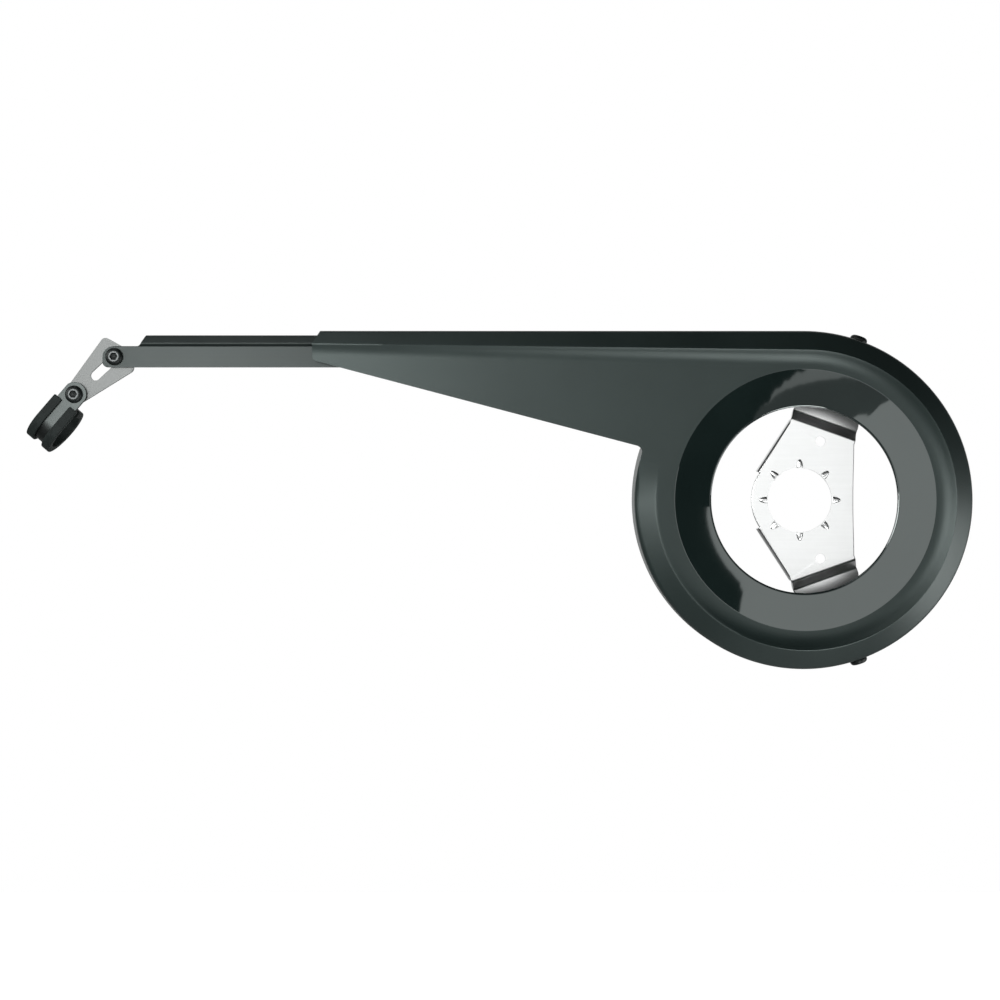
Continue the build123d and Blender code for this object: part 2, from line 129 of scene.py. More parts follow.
# Modelling helpers
def pick(*pieces):
    bpy.ops.object.select_all(action="DESELECT")
    for piece in pieces:
        piece.select_set(True)
    bpy.context.view_layer.objects.active = pieces[0]


def modify(piece, kind, **settings):
    modifier = piece.modifiers.new(kind.title(), kind)
    for key, value in settings.items():
        setattr(modifier, key, value)
    pick(piece)
    bpy.ops.object.modifier_apply(modifier=modifier.name)


def cutWith(piece, tool, operation="DIFFERENCE"):
    modify(piece, "BOOLEAN", object=tool, operation=operation, solver="EXACT")
    bpy.data.objects.remove(tool)


# Faces over the area flatOver stay flat. The bevel is held to what a piece's shortest edge allows: a few
# micrometres on the cover, the bracket and the rail, and 10 to 20 on the weld nuts and the link plate
def softEdges(piece, width, sharp=32, flatOver=1.0):
    modify(
        piece, "BEVEL", width=width, segments=2, limit_method="ANGLE", angle_limit=radians(sharp),
        miter_outer="MITER_ARC",
    )
    pick(piece)
    bpy.ops.object.shade_smooth_by_angle(angle=radians(sharp + 8))
    for face in piece.data.polygons:
        if face.area > flatOver:
            face.use_smooth = False
    modify(piece, "WEIGHTED_NORMAL", keep_sharp=True)


def pieceName(node):
    first, *rest = node.split("_")
    return first + "".join(word.title() for word in rest)


def nodeCopy(node):  # a CAD node's mesh, merged so that it can be worked on
    piece = bpy.data.objects.new(pieceName(node), frame["nodes"][node].data.copy())
    bpy.context.scene.collection.objects.link(piece)
    pick(piece)
    bpy.ops.object.mode_set(mode="EDIT")
    bpy.ops.mesh.select_all(action="SELECT")
    bpy.ops.mesh.customdata_custom_splitnormals_clear()
    bpy.ops.mesh.remove_doubles(threshold=0.002 * mm)
    bpy.ops.mesh.tris_convert_to_quads(face_threshold=radians(1), shape_threshold=radians(60))
    bpy.ops.object.mode_set(mode="OBJECT")
    return piece


def seat(piece, node, *coats):
    piece.data.materials.clear()
    for coat in coats:
        piece.data.materials.append(coat)
    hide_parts(node)
    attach(piece, bodyOf[node])


# Cover: satin moulded plastic with a fine grain, polished on the front of the funnel round the crank hole
plasticLook = {
    "deep": colour(0.0030, 0.0064, 0.0060),
    "pale": colour(0.0046, 0.0088, 0.0082),
    "tint": colour(0.88, 1.0, 0.97),
    "satin": 0.42,
    "polished": 0.02,
    "polishRadius": 70 * mm,
    "polishEdge": 0.1 * mm,
    "polishHeight": 19.8 * mm,  # of the funnel's outer edge, and how it falls to the hole
    "polishFall": 2.6 / 20.2,
    "polishDepth": (0.4 * mm, 0.7 * mm),  # behind the funnel's front, where the polish ends on the lip
    "cloud": 22.0,
    "cloudRough": 0.08,
    "grain": 2400.0,
    "grainRough": 0.10,
    "grainDepth": 0.05 * mm,
    "grainBump": 0.35,
}


def coverPlastic():
    look = plasticLook
    plain = {"Specular IOR Level": 0.5, "Specular Tint": look["tint"], "Coat Roughness": look["polished"]}
    material, shader, w = newFinish("coverPlastic", plain)
    place = w.node("TexCoord", out="Object")
    across = w.node("VectorMath", {"operation": "MULTIPLY"}, {0: place, 1: (1.0, 0.0, 1.0)})
    radius = w.node("VectorMath", {"operation": "LENGTH"}, {0: across}, out="Value")
    edge = look["polishRadius"]
    outside = radius.ease(edge - look["polishEdge"], edge + look["polishEdge"])
    front = (edge - radius) * look["polishFall"] - look["polishHeight"]
    depth = w.node("SeparateXYZ", {}, {0: place}, out="Y") - front
    satin = w.maths("MAXIMUM", outside, depth.ease(*look["polishDepth"]))
    cloud, grain = place.noise(look["cloud"], 3.0), place.noise(look["grain"], 2.0)
    cloud.ease(0.3, 0.7).blend(look["deep"], look["pale"]).feed(shader, "Base Color")
    rough = look["satin"] + (cloud - 0.5) * look["cloudRough"] + (grain - 0.5) * look["grainRough"]
    (rough * satin + look["polished"] * (1 - satin)).feed(shader, "Roughness")
    (1 - satin).feed(shader, "Coat Weight")
    (grain * satin).bump(shader, look["grainBump"], look["grainDepth"])
    return material


# Sheet metals, bare or coated, differ in colour, gloss and the way their rolling marks run
metalLook = {"cloud": 60.0, "marksBump": 0.12}


def sheetMetal(name, pale, dark, rough, marks, streak=0.06, depth=0.03 * mm, **plain):
    material, shader, w = newFinish(name, {"Metallic": 1.0} | plain)
    place = w.node("TexCoord", out="Object")
    lines = w.node("Mapping", {}, {"Vector": place, "Scale": marks}).noise(1.0, 3.0)
    mix = lines * 0.5 + place.noise(metalLook["cloud"], 3.0) * 0.5
    mix.ease(0.3, 0.7).blend(dark, pale).feed(shader, "Base Color")
    (rough + (mix - 0.5) * 2 * streak).feed(shader, "Roughness")
    lines.bump(shader, metalLook["marksBump"], depth)
    return material


# Rubber: dull black with a dusty mottle
rubberLook = {
    "dark": colour(0.0040, 0.0060, 0.0056),
    "dusty": colour(0.0080, 0.0110, 0.0104),
    "sheen": 0.14,
    "rough": 0.58,
    "mottle": 350.0,
    "mottleRough": 0.16,
    "pores": 3000.0,
    "poreDepth": 0.04 * mm,
    "poreBump": 0.3,
}


def linerRubber():
    look = rubberLook
    material, shader, w = newFinish("linerRubber", {"Specular IOR Level": look["sheen"]})
    place = w.node("TexCoord", out="Object")
    mottle = place.noise(look["mottle"], 4.0)
    mottle.ease(0.3, 0.75).blend(look["dark"], look["dusty"]).feed(shader, "Base Color")
    (look["rough"] + mottle * look["mottleRough"]).feed(shader, "Roughness")
    place.noise(look["pores"], 2.0).bump(shader, look["poreBump"], look["poreDepth"])
    return material


# Screws: black oxide, a little worn in spots
screwLook = {
    "dark": colour(0.004, 0.0055, 0.0053),
    "worn": colour(0.010, 0.012, 0.0118),
    "metal": 0.3,
    "sheen": 0.18,
    "rough": 0.30,
    "spots": 700.0,
    "spotRough": 0.14,
    "spotDepth": 0.02 * mm,
    "spotBump": 0.15,
}


def screwBlack():
    look = screwLook
    plain = {"Metallic": look["metal"], "Specular IOR Level": look["sheen"]}
    material, shader, w = newFinish("screwBlack", plain)
    spots = w.node("TexCoord", out="Object").noise(look["spots"], 3.0)
    spots.ease(0.45, 0.8).blend(look["dark"], look["worn"]).feed(shader, "Base Color")
    (look["rough"] + spots * look["spotRough"]).feed(shader, "Roughness")
    spots.bump(shader, look["spotBump"], look["spotDepth"])
    return material


finishes = {
    "cover_plastic": coverPlastic(),
    "bracket_zinc": sheetMetal(
        "bracketZinc", colour(0.75, 0.75, 0.75), colour(0.71, 0.71, 0.71), 0.28, (30.0, 400.0, 700.0),
        streak=0.02, depth=0.006 * mm,
    ),
    "nut_zinc": sheetMetal(
        "nutZinc", colour(0.72, 0.73, 0.74), colour(0.62, 0.63, 0.64), 0.28, (500.0, 500.0, 500.0)
    ),
    "rail_dark": sheetMetal(
        "railDark", colour(0.010, 0.013, 0.0125), colour(0.007, 0.0095, 0.009), 0.34, (8.0, 900.0, 900.0),
        **{"Metallic": 0.0, "Specular IOR Level": 0.24, "Specular Tint": colour(0.92, 1.0, 0.98)},
    ),
    "link_steel": sheetMetal(
        "linkSteel", colour(0.088, 0.090, 0.089), colour(0.074, 0.076, 0.075), 0.42, (250.0, 250.0, 250.0)
    ),
    "strap_steel": sheetMetal(
        "strapSteel", colour(0.043, 0.047, 0.046), colour(0.033, 0.037, 0.036), 0.36, (300.0, 300.0, 300.0)
    ),
    "screw_black": screwBlack(),
    "liner_rubber": linerRubber(),
}
# Flat ring round each screw's socket: a lighter, metallic colour than the black head
lighterRim = sheetMetal(
    "lighterRim", colour(0.070, 0.073, 0.073), colour(0.055, 0.058, 0.058), 0.38, (900.0, 900.0, 900.0)
)
print("finishes made:", len(finishes) + 1)


# Stage: camera, lamps, floor and the studio that gloss shows
cameraView = {"place": (-163.2 * mm, -1.0, 0.0), "seenWidth": 545 * mm, "sensor": 36.0}
lampSetup = {
    "right": {"place": (1.05, -0.22, -0.42), "aim": (0.0, 0.0, 0.0), "size": 0.80, "power": 11.0},
    "left": {"place": (-1.25, -0.50, 0.38), "aim": (-0.12, 0.0, 0.04), "size": 0.80, "power": 13.0},
    "near": {"place": (-0.43, -0.58, 0.10), "aim": (-0.30, 0.0, 0.08), "size": 0.28, "power": 2.5},
    "over": {"place": (-0.42, -0.20, 0.80), "aim": (-0.20, 0.0, 0.08), "size": 0.40, "power": 0.9},
    "low": {"place": (0.25, -0.75, -0.80), "aim": (0.0, 0.0, 0.06), "size": 0.50, "power": 8.0},
}
lampColour = (0.985, 1.0, 0.997)
floorSetup = {"level": -1.5, "size": 12.0, "pale": colour(0.86, 0.86, 0.86), "rough": 0.9, "glow": 0.95}
white = colour(1.0, 1.0, 1.0)


def seenDirectly(w):  # 1 for what the camera itself sees
    camera, through = (w.node("LightPath", out=kind) for kind in ("Is Camera Ray", "Is Transmission Ray"))
    return w.maths("MAXIMUM", camera, through)


def buildStage():
    camera = bpy.data.objects.new("camera", bpy.data.cameras.new("camera"))
    bpy.context.scene.collection.objects.link(camera)
    camera.location = cameraView["place"]
    camera.rotation_euler = (pi / 2, 0.0, 0.0)
    camera.data.sensor_width = cameraView["sensor"]
    camera.data.lens = cameraView["sensor"] * -cameraView["place"][1] / cameraView["seenWidth"]
    bpy.context.scene.camera = camera
    for name, lamp in lampSetup.items():
        light = bpy.data.lights.new(name, "AREA")
        light.size = lamp["size"]
        light.energy = lamp["power"]
        light.color = lampColour
        holder = bpy.data.objects.new(name, light)
        bpy.context.scene.collection.objects.link(holder)
        place = Vector(lamp["place"])
        holder.location = place
        holder.rotation_euler = (Vector(lamp["aim"]) - place).to_track_quat("-Z", "Y").to_euler()
        holder.visible_camera = False
    pick(camera)
    bpy.ops.mesh.primitive_plane_add(size=floorSetup["size"], location=(0.0, 0.0, floorSetup["level"]))
    floor = bpy.context.object
    floor.name = "floor"
    plain = {"Base Color": floorSetup["pale"], "Roughness": floorSetup["rough"]}
    material, shader, w = newFinish("floorPale", plain)
    lit = Wire(w.tree, shader.outputs[0])
    glow = w.node("Emission", {}, {"Color": white, "Strength": 1.0})
    shown = w.node("MixShader", {}, {0: seenDirectly(w) * floorSetup["glow"], 2: glow})
    surface = w.node("AddShader", {}, {0: lit, 1: shown})
    w.tree.links.new(surface.socket, w.tree.nodes["Material Output"].inputs["Surface"])
    floor.data.materials.append(material)


# Behind the part the world is white. In front it is a dim room with one wide bright sheet to the left.
# The polished funnel shows a narrow ring of it, so the sheet's ragged edges are placed round that ring:
# in degrees round the crank, on the funnel's outer edge and how much more at the crank hole.
studio = {
    "room": 0.03,
    "sheet": 1.75,
    "middle": 1.6,  # inside that ring, where the plate looks
    "around": 0.58,
    "aroundLeft": 1.2,  # how much brighter it gets to the left
    "leftRange": (0.05, -0.55),
    "head": (0.45, 0.55),  # where it ends, upwards over forwards
    "leastForward": 0.05,
    "frontRange": (0.55, 0.75),  # how far forwards a way points where the sheet begins
    "backRange": (0.45, 0.75),  # and backwards, where the white begins
    "ringPlace": 0.172,  # middle of the ring, sideways over forwards
    "ringFlat": 1.04,
    "ringOuter": 0.1944,
    "ringWidth": 0.0215,
    "ringStart": (0.150, 0.175),
    "ringEnd": (0.235, 0.260),
    "top": (47.8, 12.0),
    "hazeTop": (66.0, 62.0),
    "cloudTop": (88.6, 33.0),
    "foot": (-119.0, -12.0),
    "rim": -46.0,  # how far the foot runs on along the crank hole
    "rimRange": (0.70, 0.92),
    "haze": 0.16,
    "cloud": 0.62,
    "ragged": 12.0,
    "ragScale": 55.0,
    "edgeSoft": 0.6,
    "tint": colour(0.985, 1.0, 0.995),
}


def buildWorld():
    world = bpy.data.worlds.new("studio")
    bpy.context.scene.world = world
    world.use_nodes = True
    tree = world.node_tree
    w = Wire(tree)
    way = w.node("TexCoord", out="Generated")
    x, y, z = (w.node("SeparateXYZ", {}, {0: way}, out=axis) for axis in "XYZ")
    forwards = w.maths("MAXIMUM", 0 - y, studio["leastForward"])
    sideways, upwards = x / forwards, z / forwards
    across, along = sideways - studio["ringPlace"], upwards * studio["ringFlat"]
    reach = w.maths("SQRT", across * across + along * along)
    inwards = w.node("Clamp", {}, {0: (reach - studio["ringOuter"]) / studio["ringWidth"]})
    ragged = way.noise(studio["ragScale"], 1.0) - 0.5
    turn = w.maths("ARCTAN2", 0 - along, 0 - across) * degrees(1) + ragged * studio["ragged"]
    soft = studio["edgeSoft"]

    def below(name):  # 1 where the turn hasn't come to that edge
        at, lean = studio[name]
        return (turn - inwards * lean).ease(at - soft, at + soft, 1.0, 0.0)

    top, hazeTop, cloudTop = (below(name) for name in ("top", "hazeTop", "cloudTop"))
    shade = top + (hazeTop - top) * studio["haze"]
    shade = shade + (cloudTop - w.maths("MAXIMUM", hazeTop, top)) * studio["cloud"]
    at, lean = studio["foot"]
    rim = inwards.ease(*studio["rimRange"]) * studio["rim"]
    foot = (turn - inwards * lean - rim).ease(at - soft, at + soft)
    head = upwards.ease(*studio["head"], 1.0, 0.0)
    inFront = (0 - y).ease(*studio["frontRange"])
    ring = w.maths("MAXIMUM", shade, 0.0) * foot * studio["sheet"]
    inner, outer = reach.ease(*studio["ringStart"]), reach.ease(*studio["ringEnd"])
    around = studio["around"] + sideways.ease(*studio["leftRange"]) * studio["aroundLeft"]
    level = (1 - inner) * studio["middle"] + inner * (1 - outer) * ring + outer * around
    room = studio["room"] + level * head * inFront
    behind = y.ease(*studio["backRange"])
    gloss = room * (1 - behind) + behind
    seen = seenDirectly(w)
    background = tree.nodes["Background"]
    seen.blend(studio["tint"], white).feed(background, "Color")
    (gloss * (1 - seen) + seen).feed(background, "Strength")


bpy.context.scene.view_settings.view_transform = "Standard"
buildStage()
buildWorld()
print("stage built")


# Cover: one skin, spun round the crank and drawn out into the tail, then given its wall
cover = {
    "ringRadius": 91 * mm,
    "crankHole": 49.8 * mm,
    "band": 11 * mm,
    "strip": 10 * mm,
    "rise": 4.7 * mm,
    "floor": 19.8 * mm,
    "funnelDrop": 2.6 * mm,
    "shoulder": 14.5 * mm,
    "shoulderRound": 4.5 * mm,
    "shoulderSteps": 8,
    "back": -6 * mm,
    "wall": 2 * mm,
    "hollowPull": 0.55,
    "stripCuts": (0.19, 0.28, 0.38, 0.48, 0.6, 0.72, 0.84, 0.94, 1.0),
    "funnelStart": 0.015,
    "ridgeSoft": 0.8 * mm,
    "edgeRound": 0.3 * mm,
    "lip": 1.0 * mm,  # round of the crank hole's front edge
    "lipSteps": 4,
    "fadePower": 1.3,
    "fadeMargin": 4.0,
    "shoulderFade": 14.0,
    "tailLength": 263.5 * mm,
    "tailEnd": 16.2 * mm,
    "tailSlope": 14.76,
    "tailBand": 7.5 * mm,
    "tailStrip": 6.5 * mm,
    "tailRise": 1.8 * mm,
    "tailSlant": 4.8 * mm,
    "tailCorner": 2.6 * mm,
    "cornerSteps": 6,
    "tailSteps": 14,
    "notchRound": 3.7 * mm,
    "notchSteps": 8,
    "spinStep": 2.0,
    "screwAngle": 70.5,
    "screwHeight": 8 * mm,
    "screwHole": 2.65 * mm,
    "holeSides": 32,
    "sharp": 42,  # edges over that angle are rounded
    "flatOver": 1000 * mm * mm,
}


def smooth(t):
    t = min(max(t, 0.0), 1.0)
    return t * t * (3 - 2 * t)


def turnOf(co):  # degrees round the crank
    return degrees(atan2(co.z, co.x))


def radiusOf(co):
    return hypot(co.x, co.z)


# Radius and height of the skin's points, from the back edge to the crank hole
def skinSection(band, strip, rise, shoulder, rounding):
    corner = Vector((cover["ringRadius"], shoulder))
    ridge = Vector((cover["ringRadius"] - band, cover["floor"] + rise))
    inner = Vector((ridge.x - strip, cover["floor"]))
    hollow = Vector((inner.x + strip * cover["hollowPull"], cover["floor"]))
    hole = Vector((cover["crankHole"], cover["floor"] - cover["funnelDrop"]))
    slope = (ridge - corner).normalized()
    turn = acos(slope.y)
    middle = corner - Vector((rounding, rounding * tan(turn / 2)))
    points = [Vector((cover["ringRadius"], cover["back"]))]
    steps = cover["shoulderSteps"]
    turns = [turn * k / steps for k in range(steps + 1)]
    points += [middle + rounding * Vector((cos(part), sin(part))) for part in turns]

    def strand(t):
        return ridge * (1 - t) ** 2 + hollow * 2 * t * (1 - t) + inner * t**2

    before, after = ridge - slope * cover["ridgeSoft"], strand(cover["ridgeSoft"] / strip)
    points += [before, (before + ridge * 2 + after) / 4, after]
    points += [strand(t) for t in cover["stripCuts"]]
    funnel = hole - inner
    besideLip = hole - funnel.normalized() * (cover["lip"] + cover["edgeRound"])
    return points + [inner + funnel * cover["funnelStart"], besideLip, hole]


shoulder = (cover["shoulder"], cover["shoulderRound"])
ringSection = skinSection(cover["band"], cover["strip"], cover["rise"], *shoulder)
tailSection = skinSection(cover["tailBand"], cover["tailStrip"], cover["tailRise"], *shoulder)
bandCount = len(ringSection) - 3  # points from the back edge to the flat face

# Where the tail's lower edge meets the ring, and the round in that corner
edgeStart = Vector((-cover["tailLength"], cover["ringRadius"] - cover["tailEnd"]))
edgeWay = Vector((cos(radians(cover["tailSlope"])), -sin(radians(cover["tailSlope"]))))
faceRadius = cover["ringRadius"] - cover["edgeRound"]


# Point at an offset below the lower edge that is a radius away from the crank axis
def alongEdge(offset, radius):
    start = edgeStart + Vector((edgeWay.y, -edgeWay.x)) * offset
    reach = start.dot(edgeWay)
    return start + edgeWay * (-reach - sqrt(reach**2 - start.length_squared + radius**2))


notch = alongEdge(0.0, cover["ringRadius"])
notchAngle = degrees(atan2(notch.y, notch.x))
fadeStop = notchAngle + cover["fadeMargin"]
notchMiddle = alongEdge(cover["notchRound"], faceRadius + cover["notchRound"])
wallMeet = degrees(atan2(notchMiddle.y, notchMiddle.x))


# The ridge dies away up the rear of the ring, then the shoulder rises to the flat face
def fadedSection(angle):
    rise = cover["rise"] * smooth((angle - 180) / 90) ** cover["fadePower"]
    gain = smooth((fadeStop + cover["shoulderFade"] - angle) / cover["shoulderFade"])
    shoulder = cover["shoulder"] + (cover["floor"] - cover["shoulder"]) * gain
    rounding = cover["shoulderRound"] + (cover["edgeRound"] - cover["shoulderRound"]) * gain
    return skinSection(cover["band"], cover["strip"], rise, shoulder, rounding)


def nearest(points, place):
    return min(range(len(points)), key=lambda k: (points[k] - place).length_squared)


def arc(middle, radius, start, end, steps):  # angles in degrees
    turns = [radians(start + (end - start) * k / steps) for k in range(steps + 1)]
    return [middle + radius * Vector((cos(turn), sin(turn))) for turn in turns]


def facePath():  # rear end, lower edge and notch of the flat face
    down, corner, rounding = Vector((0.0, -1.0)), edgeStart, cover["tailCorner"]
    half = acos(max(-1.0, min(1.0, -down.dot(edgeWay)))) / 2
    reach = rounding / tan(half)
    middle = corner - down * reach + Vector((rounding, 0.0))
    start, end = 180.0, degrees(atan2(*reversed(corner + edgeWay * reach - middle)))
    end += 360 if end < start else 0
    path = arc(middle, rounding, start, end, cover["cornerSteps"])
    up = Vector((-edgeWay.y, edgeWay.x))
    start, end = degrees(atan2(up.y, up.x)), wallMeet - 180
    return path + arc(notchMiddle, cover["notchRound"], start, end, cover["notchSteps"])


def selectNone(mesh):
    for item in (*mesh.faces, *mesh.edges, *mesh.verts):
        item.select_set(False)


def selectVerts(mesh, keep):
    selectNone(mesh)
    for vert in mesh.verts:
        if keep(vert.co):
            vert.select_set(True)
    mesh.select_flush(True)


def spinRound(turn, steps, way):  # way -1 is clockwise, seen from the front
    bpy.ops.mesh.spin(steps=steps, angle=radians(turn), center=(0, 0, 0), axis=(0, way, 0))


# What holds the rail inside the tail: two ribs that it runs along and two hooks under its lower edge
guides = {
    "railLow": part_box("extension_rail")[0].z,
    "hoodOver": 11.3 * mm,  # lower edge of the hood over the rail's lower edge
    "webFront": 16 * mm,
    "webBack": 14 * mm,
    "seatGap": 0.1 * mm,
    "runGap": 0.3 * mm,
    "ribWidth": 1.4 * mm,
    "ribStarts": (3 * mm, 18 * mm),  # upper and lower, from the rear end
    "ribEnd": 87 * mm,
    "hookSpots": (36 * mm, 78 * mm),
    "hookLength": 9 * mm,
    "hookWall": 1.8 * mm,
}


def block(low, high):
    low, high = Vector(low), Vector(high)
    bpy.ops.object.select_all(action="DESELECT")
    bpy.ops.mesh.primitive_cube_add(size=1, location=(low + high) / 2, scale=high - low)
    bpy.ops.object.transform_apply(location=True, rotation=True, scale=True)
    return bpy.context.object


def addGuides(piece):
    rear, sunk = -cover["tailLength"], cover["wall"] / 2 - cover["floor"]
    width, thick = guides["ribWidth"], guides["hookWall"]
    levels = (guides["railLow"] + guides["hoodOver"] - 2 * width, guides["railLow"] + 2 * width)
    for level, start in zip(levels, guides["ribStarts"]):
        low = (rear + start, sunk, level - width / 2)
        high = (rear + guides["ribEnd"], -guides["webFront"] - guides["seatGap"], level + width / 2)
        cutWith(piece, block(low, high), "UNION")
    top, back = guides["railLow"] - guides["runGap"], guides["runGap"] - guides["webBack"]
    for spot in guides["hookSpots"]:
        start = rear + spot - guides["hookLength"] / 2
        hook = block((start, sunk, top - thick), (start + guides["hookLength"], back + thick, top))
        bpy.ops.object.mode_set(mode="EDIT")
        bpy.ops.mesh.select_all(action="SELECT")
        bpy.ops.mesh.bisect(plane_co=(0, back, 0), plane_no=(0, 1, 0))
        mesh = bmesh.from_edit_mesh(hook.data)
        selectNone(mesh)
        for face in mesh.faces:
            face.select_set(face.normal.z > 0.9 and face.calc_center_median().y > back)
        bpy.ops.mesh.extrude_region_move(TRANSFORM_OT_translate={"value": (0, 0, 2 * thick)})
        bpy.ops.object.mode_set(mode="OBJECT")
        cutWith(piece, hook, "UNION")


def buildCover():
    bpy.ops.object.select_all(action="DESELECT")
    bpy.ops.mesh.primitive_circle_add(vertices=len(ringSection), radius=cover["ringRadius"])
    piece = bpy.context.object
    piece.name = "coverMoulding"
    bpy.ops.object.mode_set(mode="EDIT")
    mesh = bmesh.from_edit_mesh(piece.data)
    mesh.verts.ensure_lookup_table()
    mesh.edges.remove(mesh.edges.get((mesh.verts[0], mesh.verts[-1])))
    for vert, point in zip(mesh.verts, ringSection):
        vert.co = (0.0, -point.y, point.x)

    # Ring, from the top round the front to the rear of the notch
    turn = 450 - fadeStop
    selectVerts(mesh, lambda co: True)
    spinRound(turn, round(turn / cover["spinStep"]), -1)
    mesh = bmesh.from_edit_mesh(piece.data)
    for vert in mesh.verts:
        angle = turnOf(vert.co) % 360
        if fadeStop - 0.5 < angle < 270:
            place = Vector((radiusOf(vert.co), -vert.co.y))
            point = fadedSection(angle)[nearest(ringSection, place)]
            vert.co = (point.x * cos(radians(angle)), -point.y, point.x * sin(radians(angle)))

    # Tail: the band's section is drawn out to the rear and gets narrower
    flat = cover["ringRadius"] - cover["band"] - cover["strip"]
    selectVerts(mesh, lambda co: abs(co.x) < tiny and co.z > flat - tiny)
    last = ringSection
    for step in range(1, cover["tailSteps"] + 1):
        t = step / cover["tailSteps"]
        stretch = (-cover["tailLength"] / cover["tailSteps"], 0, 0)
        bpy.ops.mesh.extrude_edges_move(TRANSFORM_OT_translate={"value": stretch})
        mesh = bmesh.from_edit_mesh(piece.data)
        new = [a.lerp(b, t) for a, b in zip(ringSection, tailSection)]
        for vert in mesh.verts:
            if vert.select:
                point = new[nearest(last[:bandCount], Vector((vert.co.z, -vert.co.y)))]
                vert.co = (-cover["tailLength"] * t, -point.y, point.x)
                if step == cover["tailSteps"]:
                    lean = max(0.0, point.x - cover["ringRadius"] + cover["tailBand"])
                    vert.co.x += lean * cover["tailSlant"] / (cover["tailBand"] + cover["wall"])
        last = new

    # Funnel beside the tail, and the end of the ring wall under the notch
    selectVerts(mesh, lambda co: abs(co.x) < tiny and 0 < co.z < flat + tiny)
    turn = fadeStop - 90
    spinRound(turn, round(turn / cover["spinStep"]), 1)
    for start, turn, steps in ((fadeStop, fadeStop - wallMeet, 2), (wallMeet, wallMeet - notchAngle, 1)):
        mesh = bmesh.from_edit_mesh(piece.data)
        selectVerts(mesh, lambda co: abs(turnOf(co) - start) < 0.01 and radiusOf(co) > faceRadius - tiny)
        spinRound(turn, steps, -1)

    # Flat face: its free edge is drawn point by point, then the loop is filled
    mesh = bmesh.from_edit_mesh(piece.data)
    here = Vector((-cover["tailLength"], cover["ringRadius"] - cover["tailBand"] - cover["tailStrip"]))
    selectVerts(mesh, lambda co: (co - Vector((here.x, -cover["floor"], here.y))).length < tiny)
    for point in facePath():
        step = (point.x - here.x, 0, point.y - here.y)
        bpy.ops.mesh.extrude_vertices_move(TRANSFORM_OT_translate={"value": step})
        here = point
    bpy.ops.mesh.select_all(action="SELECT")
    bpy.ops.mesh.remove_doubles(threshold=0.02 * mm)
    mesh = bmesh.from_edit_mesh(piece.data)
    selectNone(mesh)
    for edge in mesh.edges:
        middle = (edge.verts[0].co + edge.verts[1].co) / 2
        level = all(abs(vert.co.y + cover["floor"]) < tiny for vert in edge.verts)
        wall = radiusOf(middle) > faceRadius - 0.1 * mm
        hidden = wall and turnOf(middle) < wallMeet and len(edge.link_faces) == 1
        if level and len(edge.link_faces) < 2 and middle.x < 0 and not hidden:
            edge.select_set(True)
    bpy.ops.mesh.edge_face_add()
    bpy.ops.mesh.select_all(action="SELECT")
    bpy.ops.mesh.normals_make_consistent(inside=False)
    mesh = bmesh.from_edit_mesh(piece.data)
    if max(mesh.faces, key=lambda face: face.calc_area()).normal.y > 0:
        bpy.ops.mesh.flip_normals()
    bpy.ops.object.mode_set(mode="OBJECT")
    modify(
        piece, "SOLIDIFY", thickness=cover["wall"], offset=-1.0,
        use_even_offset=False, use_quality_normals=True,
    )

    # Rounded lip round the crank hole
    bpy.ops.object.mode_set(mode="EDIT")
    mesh = bmesh.from_edit_mesh(piece.data)
    near, level = 0.05 * mm, cover["funnelDrop"] - cover["floor"]
    selectVerts(mesh, lambda co: abs(radiusOf(co) - cover["crankHole"]) < near and abs(co.y - level) < near)
    bpy.ops.mesh.bevel(offset=cover["lip"], segments=cover["lipSteps"], affect="EDGES")
    bpy.ops.object.mode_set(mode="OBJECT")

    # Screw holes through the ring wall
    for side in (1, -1):
        turn = radians(side * cover["screwAngle"])
        way = Vector((cos(turn), 0.0, sin(turn)))
        bpy.ops.mesh.primitive_cylinder_add(
            vertices=cover["holeSides"],
            radius=cover["screwHole"],
            depth=6 * cover["wall"],
            location=way * cover["ringRadius"] + Vector((0.0, -cover["screwHeight"], 0.0)),
            rotation=way.to_track_quat("Z", "Y").to_euler(),
        )
        cutWith(piece, bpy.context.object)
    addGuides(piece)
    softEdges(piece, cover["edgeRound"], sharp=cover["sharp"], flatOver=cover["flatOver"])
    return piece


coverPiece = buildCover()
seat(coverPiece, "cover_shell", finishes["cover_plastic"])
print("cover modelled:", len(coverPiece.data.polygons), "faces")

# The plate as it was pressed: a short steep joggle in each arm, a tight flange, edges rolled by the shears,
# and grips that are half domes, open to the hole
pressing = {
    "armAngle": cover["screwAngle"],
    "solid": (36 * mm, 42 * mm, 49 * mm, 70 * mm),  # plate, joggle and arm in the solid, from the axis
    "shown": (36 * mm, 40.6 * mm, 45 * mm, 70 * mm),
    "sheet": 2 * mm,
    "gripStart": 17.9 * mm,
    "gripEnd": 22.1 * mm,
    "gripHalf": 1.8 * mm,
    "gripCount": 8,
    "gripCuts": 5,
    "gripTip": 0.3,
    "gripSlack": 0.02,
    "flangeFoot": 26.4 * mm,  # where the flange's line leaves the collar, and how high over the rear
    "flangeAngle": 30.0,
    "flangeHead": (39 * mm, 18 * mm),  # its other end, along the arm and half across
    "flangeKeep": 0.6,
    "flangeRun": 3.6 * mm,  # how much further it goes, up to the joggle
    "armWiden": 1.2 * mm,  # of the joggle on that side
    "armFade": 15 * mm,
    "armKeep": 1.4,  # where that is over, in lengths of the fade
    "roll": 0.5 * mm,
    "rollFrom": 24 * mm,
    "rollSteps": 3,
    "rollFront": -0.3,  # an edge is rolled between a face that looks forwards and one that looks sideways
    "rollSide": 0.15,
    "serviceHole": 34 * mm,
    "serviceClear": 4 * mm,
}


def onFront(vert):
    return vert.co.y < 0.001 * mm - pressing["sheet"] / 2


